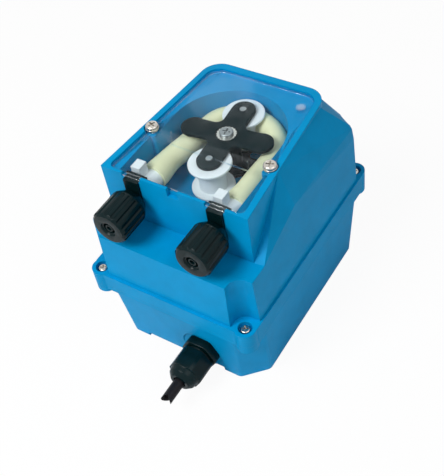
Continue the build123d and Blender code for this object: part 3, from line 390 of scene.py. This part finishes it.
# ---------------------------------------------------------------- operators
class PUMP_OT_stage(bpy.types.Operator):
    """Camera, floor, white surroundings and soft lamps"""

    bl_idname = "pump.stage"
    bl_label = "Stage"

    def execute(self, context):
        stage = context.scene.pump_stage
        self.camera(context, stage)
        self.floor(stage)
        self.surroundings(context, stage)
        self.lamp("Key", (-0.20, -0.58, 0.80), 0.40, 7.2)
        self.lamp("Fill", (0.60, -0.10, 0.78), 0.60, 1.8)
        self.lamp("Back", (-0.68, 0.95, 0.80), 0.30, 0.5)
        context.scene.view_settings.view_transform = "Standard"
        return {"FINISHED"}

    def camera(self, context, stage):
        data = bpy.data.cameras.new("Camera")
        data.sensor_width = 36.0
        data.lens = stage.focal_length
        data.shift_x = -0.006
        data.shift_y = -0.0045
        data.clip_start = 0.01
        camera = bpy.data.objects.new("Camera", data)
        context.scene.collection.objects.link(camera)
        level = math.cos(stage.camera_elevation)
        ahead = Vector((
            math.sin(stage.camera_azimuth) * level,
            math.cos(stage.camera_azimuth) * level,
            -math.sin(stage.camera_elevation)))
        camera.location = stage.camera_place
        camera.rotation_mode = "QUATERNION"
        camera.rotation_quaternion = (
            Quaternion(ahead, stage.camera_roll) @ ahead.to_track_quat("-Z", "Y"))
        context.scene.camera = camera

    def floor(self, stage):
        deselect()
        low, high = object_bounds()
        bpy.ops.mesh.primitive_plane_add(size=6.0, location=(0.0, 0.0, low.z - 0.05 * MM))
        floor = settle(bpy.context.object, "Floor")
        finish = Finish("Floor", stage.floor_colour, 0.8, specular=0.0)
        grain = finish.noise(3 * MM)
        finish.set("Roughness", finish.spread(grain, 0.3, 0.7, 0.75, 0.85))
        paper = finish.tree.nodes.new("ShaderNodeEmission")
        seen = finish.node("ShaderNodeLightPath")
        mix = finish.tree.nodes.new("ShaderNodeMixShader")
        finish.feed(mix.inputs["Fac"], seen * FLOOR_WHITENING)
        finish.tree.links.new(finish.shader.outputs[0], mix.inputs[1])
        finish.tree.links.new(paper.outputs[0], mix.inputs[2])
        finish.tree.links.new(mix.outputs[0], finish.output.inputs["Surface"])
        put_finish(floor, finish.material)
        floor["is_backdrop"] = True

    def surroundings(self, context, stage):
        world = bpy.data.worlds.new("Studio")
        world.use_nodes = True
        tree = world.node_tree
        tree.nodes.clear()
        paths = tree.nodes.new("ShaderNodeLightPath")
        level = tree.nodes.new("ShaderNodeMapRange")
        level.inputs["To Min"].default_value = stage.ambient
        level.inputs["To Max"].default_value = 1.0
        seen = paths.outputs["Is Camera Ray"]
        for ray in ("Is Glossy Ray", "Is Transmission Ray"):
            either = tree.nodes.new("ShaderNodeMath")
            either.operation = "MAXIMUM"
            tree.links.new(seen, either.inputs[0])
            tree.links.new(paths.outputs[ray], either.inputs[1])
            seen = either.outputs[0]
        tree.links.new(seen, level.inputs["Value"])
        back = tree.nodes.new("ShaderNodeBackground")
        back.inputs["Color"].default_value = (1.0, 1.0, 1.0, 1.0)
        tree.links.new(level.outputs[0], back.inputs["Strength"])
        out = tree.nodes.new("ShaderNodeOutputWorld")
        tree.links.new(back.outputs[0], out.inputs["Surface"])
        context.scene.world = world

    def lamp(self, name, place, size, power):
        data = bpy.data.lights.new(name, "AREA")
        data.shape = "SQUARE"
        data.size = size
        data.energy = power
        lamp = bpy.data.objects.new(name, data)
        bpy.context.scene.collection.objects.link(lamp)
        lamp.location = place
        lamp.rotation_mode = "QUATERNION"
        aim = Vector((0.0, 0.0, 0.06)) - Vector(place)
        lamp.rotation_quaternion = aim.to_track_quat("-Z", "Y")


class PUMP_OT_cable(bpy.types.Operator):
    """The cut end of supply cable that stands out of the gland"""

    bl_idname = "pump.cable"
    bl_label = "Supply cable"

    def execute(self, context):
        radius = context.scene.pump_sizes.cable_diameter / 2
        low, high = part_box("cable")
        centre = (low + high) / 2
        deselect()
        bpy.ops.mesh.primitive_cylinder_add(
            vertices=40, radius=radius, depth=high.y - low.y, location=centre,
            rotation=(math.radians(90.0), 0.0, 0.0))
        cable = settle(bpy.context.object, "supply_cable")
        self.cut_end(cable, low.y, centre.x, radius)
        finish = Finish("Cable jacket", context.scene.pump_colours.cable, 0.34, specular=0.14)
        finish.bump(finish.noise(0.8 * MM), 0.02 * MM)
        add_piece(cable, "supply_cable", "housing", finish.material, "rubber", "cable")
        return {"FINISHED"}

    def cut_end(self, cable, end, axis, radius):
        """Sinks the end face and notches its rim, as a snipped jacket is."""
        mesh = edit(cable)
        for face in mesh.faces:
            face.select_set(all(abs(vertex.co.y - end) < 0.01 * MM for vertex in face.verts))
        bmesh.update_edit_mesh(cable.data)
        bpy.ops.mesh.inset(thickness=0.8 * MM, depth=0.0)
        bpy.ops.transform.translate(value=(0.0, 3.2 * MM, 0.0))
        for vertex in mesh.verts:
            if vertex.co.y < end + 0.01 * MM:
                vertex.co.y += 2.6 * MM * (1.0 - abs(vertex.co.x - axis) / radius)
        bmesh.update_edit_mesh(cable.data)
        close_edit()
        bpy.ops.object.shade_smooth_by_angle(angle=SMOOTH_ANGLE)


class PUMP_OT_housing(bpy.types.Operator):
    """Moulded blue finish of the two housing halves"""

    bl_idname = "pump.housing"
    bl_label = "Housing"

    def execute(self, context):
        blue = moulded("Blue moulding", tuple(context.scene.pump_colours.housing), 0.36,
                       context.scene.pump_sizes.edge_radius, specular=0.05, mottle=0.06)
        dress(["rear_box", "front_housing"], blue)
        return {"FINISHED"}


class PUMP_OT_black_parts(bpy.types.Operator):
    """Black mouldings: nuts, nipples, gland and rotor"""

    bl_idname = "pump.black_parts"
    bl_label = "Black parts"

    def execute(self, context):
        black = tuple(context.scene.pump_colours.black)
        satin = moulded("Black moulding", black, 0.22, 0.3 * MM, specular=0.12, mottle=0.2)
        dull = moulded("Black rotor", black, 0.42, 0.3 * MM, specular=0.04, mottle=0.2)
        for side in ("left", "right"):
            nut = "ring_nut_" + side
            rounded_piece(nut, "ribbed_nut_" + side, nut, satin, "black_plastic", 0.55 * MM)
        rounded_piece("gland_body", "gland_hexagon", "housing", satin, "black_plastic", 0.5 * MM)
        rounded_piece("gland_cap", "gland_dome", "gland_cap", satin, "black_plastic", 0.8 * MM, angle=20.0)
        rounded_piece("rotor_top", "rotor_cross", "rotor", dull, "black_plastic", 0.3 * MM)
        dress(["hose_nipple_left", "hose_nipple_right", "gland_lock_nut"], satin)
        dress(["rotor_base"], dull)
        return {"FINISHED"}


class PUMP_OT_white_parts(bpy.types.Operator):
    """White mouldings: rollers, hose connectors and gears"""

    bl_idname = "pump.white_parts"
    bl_label = "White parts"

    def execute(self, context):
        white = moulded(
            "White moulding", tuple(context.scene.pump_colours.white), 0.35, 0.25 * MM, mottle=0.03)
        dress(["roller_back", "roller_front", "tube_barb_left", "tube_barb_right",
               "output_gear", "second_gear", "first_gear"], white)
        return {"FINISHED"}


class PUMP_OT_hose(bpy.types.Operator):
    """Cream pump hose"""

    bl_idname = "pump.hose"
    bl_label = "Pump hose"

    def execute(self, context):
        cream = moulded("Cream hose", tuple(context.scene.pump_colours.hose), 0.45, 0.2 * MM,
                        grain=0.6 * MM, mottle=0.04, specular=0.3)
        hose = merged_copy("pump_tube", "soft_hose")
        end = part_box("pump_tube")[0].y
        edit(hose)
        for step in range(1, SWELL_STEPS):
            bpy.ops.mesh.select_all(action="SELECT")
            bpy.ops.mesh.bisect(
                plane_co=(0.0, end + SWELL_REACH * step / SWELL_STEPS, 0.0), plane_no=(0.0, 1.0, 0.0))
        close_edit()
        for nut in ("ring_nut_left", "ring_nut_right"):
            self.swell(hose, middle(nut), end)
        round_edges(hose, 0.4 * MM, 50.0)
        add_piece(hose, "soft_hose", "housing", cream, "cream_tube", "pump_tube")
        return {"FINISHED"}

    def swell(self, hose, axis, end):
        """Widens one end of the hose where it is pushed over its connector."""
        for vertex in hose.data.vertices:
            along = (vertex.co.y - end) / SWELL_REACH
            beside = vertex.co.x - axis.x
            if along < 1.0 and abs(beside) < SWELL_HALF_WIDTH:
                wider = SWELL_SHARE * min(1.0, 1.6 * (1.0 - max(along, 0.0)))
                vertex.co.x += beside * wider
                vertex.co.y -= HOSE_PUSHED_ON * (1.0 - max(along, 0.0))
                vertex.co.z += (vertex.co.z - axis.z) * wider


class PUMP_OT_cover(bpy.types.Operator):
    """Clear cover"""

    bl_idname = "pump.cover"
    bl_label = "Cover"

    def execute(self, context):
        clear = clear_plate("Clear plastic")
        rounded_piece("cover", "clear_cover", "cover", clear, "clear_cover", 0.45 * MM)
        self.rib(clear)
        return {"FINISHED"}

    def rib(self, clear):
        """The moulded step under the plate, a thin wall along three runs."""
        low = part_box("cover")[0]
        route = [Vector((x * MM, y * MM, 0.0)) for x, y in RIB_ROUTE]
        deselect()
        bpy.ops.mesh.primitive_plane_add(size=1.0, location=(0.0, 0.0, 0.0))
        rib = bpy.context.object
        mesh = edit(rib)
        bpy.ops.mesh.select_all(action="SELECT")
        bpy.ops.mesh.delete(type="VERT")
        tops = [mesh.verts.new(point + Vector((0.0, 0.0, low.z))) for point in route]
        for first, second in zip(tops, tops[1:]):
            mesh.edges.new((first, second))
        bmesh.update_edit_mesh(rib.data)
        bpy.ops.mesh.select_all(action="SELECT")
        bpy.ops.mesh.extrude_region_move(TRANSFORM_OT_translate={"value": (0.0, 0.0, -RIB_DEPTH)})
        close_edit()
        apply_modifier(rib, "SOLIDIFY", thickness=RIB_WIDTH, offset=0.0)
        round_edges(rib, 0.12 * MM, segments=2)
        add_piece(rib, "cover_rib", "cover", clear, "clear_cover")


class PUMP_OT_fasteners(bpy.types.Operator):
    """Screws, pins and shafts of bright steel"""

    bl_idname = "pump.fasteners"
    bl_label = "Fasteners"

    def execute(self, context):
        steel = metal("Plated steel", tuple(context.scene.pump_colours.steel), 0.22)
        dull = metal("Dull steel", (0.30, 0.31, 0.31), 0.42)
        dress(["cover_screws", "housing_screws", "hub_washer", "drive_shaft", "gear_axles", "gearbox_screws",
               "board_screws"], steel)
        dress(["roller_pins", "hub_screw"], dull)
        for side in (-1, 1):
            self.collar(side, steel)
        return {"FINISHED"}

    def collar(self, side, steel):
        """The captive washer under a cover screw's head."""
        low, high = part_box("cover_screws")
        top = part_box("cover")[1].z
        radius = (high.y - low.y) / 2
        centre = Vector((side * (high.x - radius), (low.y + high.y) / 2, top))
        deselect()
        bpy.ops.mesh.primitive_cylinder_add(
            vertices=48, radius=radius + COLLAR_LIP, depth=COLLAR_DEPTH,
            location=centre - Vector((0.0, 0.0, COLLAR_DEPTH / 2 - COLLAR_PROUD)))
        collar = settle(bpy.context.object, "screw_washer")
        mesh = edit(collar)
        for face in mesh.faces:
            face.select_set(abs(face.normal.z) > 0.9 and face.calc_center_median().z > top - COLLAR_DEPTH / 2)
        bmesh.update_edit_mesh(collar.data)
        bpy.ops.mesh.inset(thickness=COLLAR_LIP + 0.3 * MM, depth=0.0)
        bpy.ops.transform.translate(value=(0.0, 0.0, 0.15 * MM))
        close_edit()
        round_edges(collar, 0.15 * MM, segments=2)
        add_piece(collar, "screw_washer_left" if side < 0 else "screw_washer_right", "cover", steel, "steel")


class PUMP_OT_drive(bpy.types.Operator):
    """Motor, gear case, bush and seals inside the housing"""

    bl_idname = "pump.drive"
    bl_label = "Drive"

    def execute(self, context):
        dress(["motor_can", "gearbox_lid", "armature"], metal("Motor steel", (0.42, 0.42, 0.41), 0.35))
        dress(["motor_pinion", "shaft_bush"], metal("Brass", (0.70, 0.50, 0.22), 0.28))
        dress(["motor_coil"], metal("Copper winding", (0.60, 0.25, 0.10), 0.35))
        dress(["gearbox_case", "motor_cap", "terminal_block"],
              moulded("Grey moulding", (0.32, 0.34, 0.35), 0.45, 0.2 * MM))
        dress(["housing_seal", "gland_seal"], moulded("Black rubber", (0.015, 0.015, 0.015), 0.6, 0.2 * MM))
        dress(["circuit_board"], moulded("Green board", (0.02, 0.18, 0.07), 0.35, 0.1 * MM))
        return {"FINISHED"}


class PUMP_PT_panel(bpy.types.Panel):
    """Lists the pump's operators and settings"""

    bl_label = "Dosing pump"
    bl_idname = "PUMP_PT_panel"
    bl_space_type = "VIEW_3D"
    bl_region_type = "UI"
    bl_category = "Pump"

    def draw(self, context):
        for operator in OPERATORS:
            self.layout.operator(operator.bl_idname)
        for group, names in ((context.scene.pump_colours, PumpColours), (context.scene.pump_sizes, PumpSizes),
                             (context.scene.pump_stage, StageSettings)):
            for name in names.__annotations__:
                self.layout.prop(group, name)


SETTINGS = ((PumpColours, "pump_colours"), (PumpSizes, "pump_sizes"), (StageSettings, "pump_stage"))
OPERATORS = (PUMP_OT_stage, PUMP_OT_cable, PUMP_OT_housing, PUMP_OT_black_parts, PUMP_OT_white_parts,
             PUMP_OT_hose, PUMP_OT_cover, PUMP_OT_fasteners, PUMP_OT_drive)


def register():
    for group, name in SETTINGS:
        bpy.utils.register_class(group)
        setattr(bpy.types.Scene, name, bpy.props.PointerProperty(type=group))
    for kind in (*OPERATORS, PUMP_PT_panel):
        bpy.utils.register_class(kind)


def unregister():
    for kind in (PUMP_PT_panel, *reversed(OPERATORS)):
        bpy.utils.unregister_class(kind)
    for group, name in reversed(SETTINGS):
        delattr(bpy.types.Scene, name)
        bpy.utils.unregister_class(group)


def main():
    register()
    for operator in OPERATORS:
        family, action = operator.bl_idname.split(".")
        getattr(getattr(bpy.ops, family), action)()


if __name__ == "__main__":
    main()
